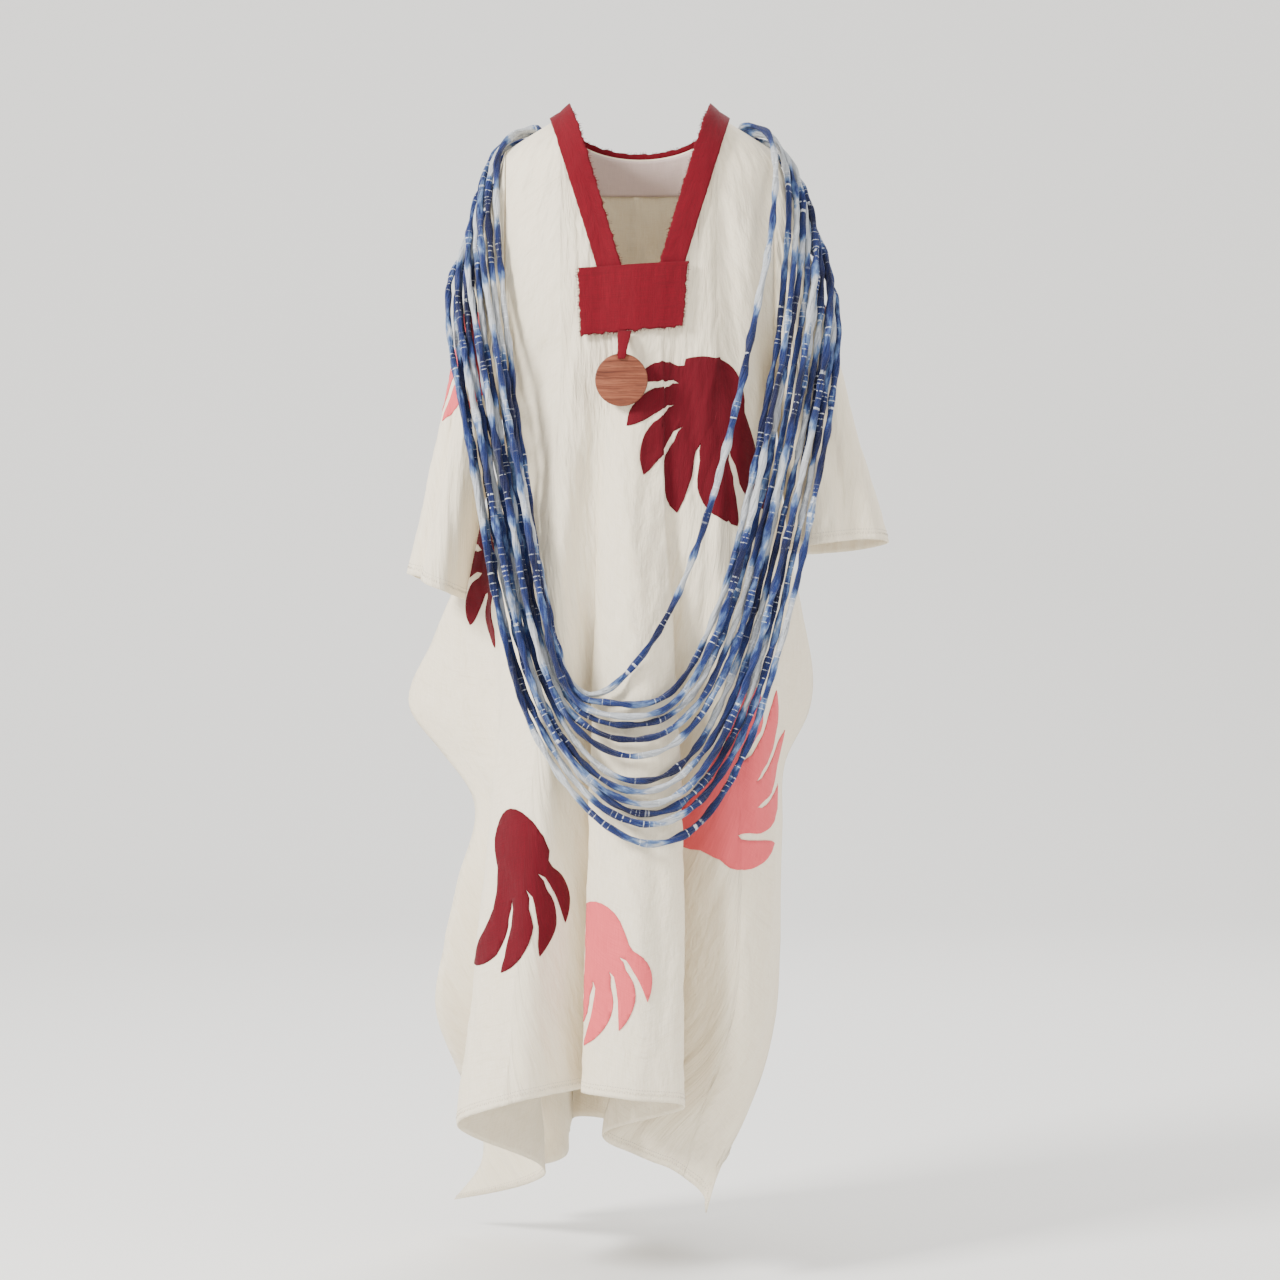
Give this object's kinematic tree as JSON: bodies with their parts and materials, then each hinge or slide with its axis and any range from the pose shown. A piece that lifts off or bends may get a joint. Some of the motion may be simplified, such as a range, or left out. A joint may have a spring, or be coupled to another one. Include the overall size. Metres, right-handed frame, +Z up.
{
  "type": "kaftan",
  "caption": "Full-length worn kaftan with V neck, wide sleeves, folded uneven hem, leaf applique, draped cords and a pendant disc",
  "frame": {"origin": "middle of the neck at shoulder height, where the wearer carries the garment", "axes": "+Z up, the front looks towards -Y, +X is on the right of someone who looks at the front"},
  "size_m": [0.6439, 0.4815, 1.5136],
  "materials": {
    "ecru_cotton": "hand-woven, slightly crinkled, matte",
    "crimson_cotton": "coarse woven with frayed edges, matte",
    "maroon_applique": "plain woven applique, stitched edge",
    "coral_applique": "plain woven applique, stitched edge",
    "pink_facing": "smooth lining cloth",
    "indigo_strand": "rolled cloth cord, tie-dyed in indigo, matte",
    "disc_wood": "turned wood, oiled"
  },
  "bodies": {
    "root": {"front_panel": "ecru_cotton", "back_panel": "ecru_cotton", "sleeve_left": "ecru_cotton", "sleeve_right": "ecru_cotton", "neck_band_left": "crimson_cotton", "neck_band_right": "crimson_cotton", "neck_band_back": "crimson_cotton", "chest_patch": "crimson_cotton", "pendant_tab": "crimson_cotton", "back_facing": "pink_facing", "wooden_disc": "disc_wood", "leaf_chest": "maroon_applique", "leaf_left_side": "maroon_applique", "leaf_lower_left": "maroon_applique", "leaf_sleeve_right": "maroon_applique", "leaf_centre": "coral_applique", "leaf_lower_right": "coral_applique", "leaf_sleeve_left": "coral_applique", "strand_01": "indigo_strand", "strand_02": "indigo_strand", "strand_03": "indigo_strand", "strand_04": "indigo_strand", "strand_05": "indigo_strand", "strand_06": "indigo_strand", "strand_07": "indigo_strand", "strand_08": "indigo_strand", "strand_09": "indigo_strand", "strand_10": "indigo_strand", "strand_11": "indigo_strand", "strand_12": "indigo_strand"}
  },
  "joints": []
}
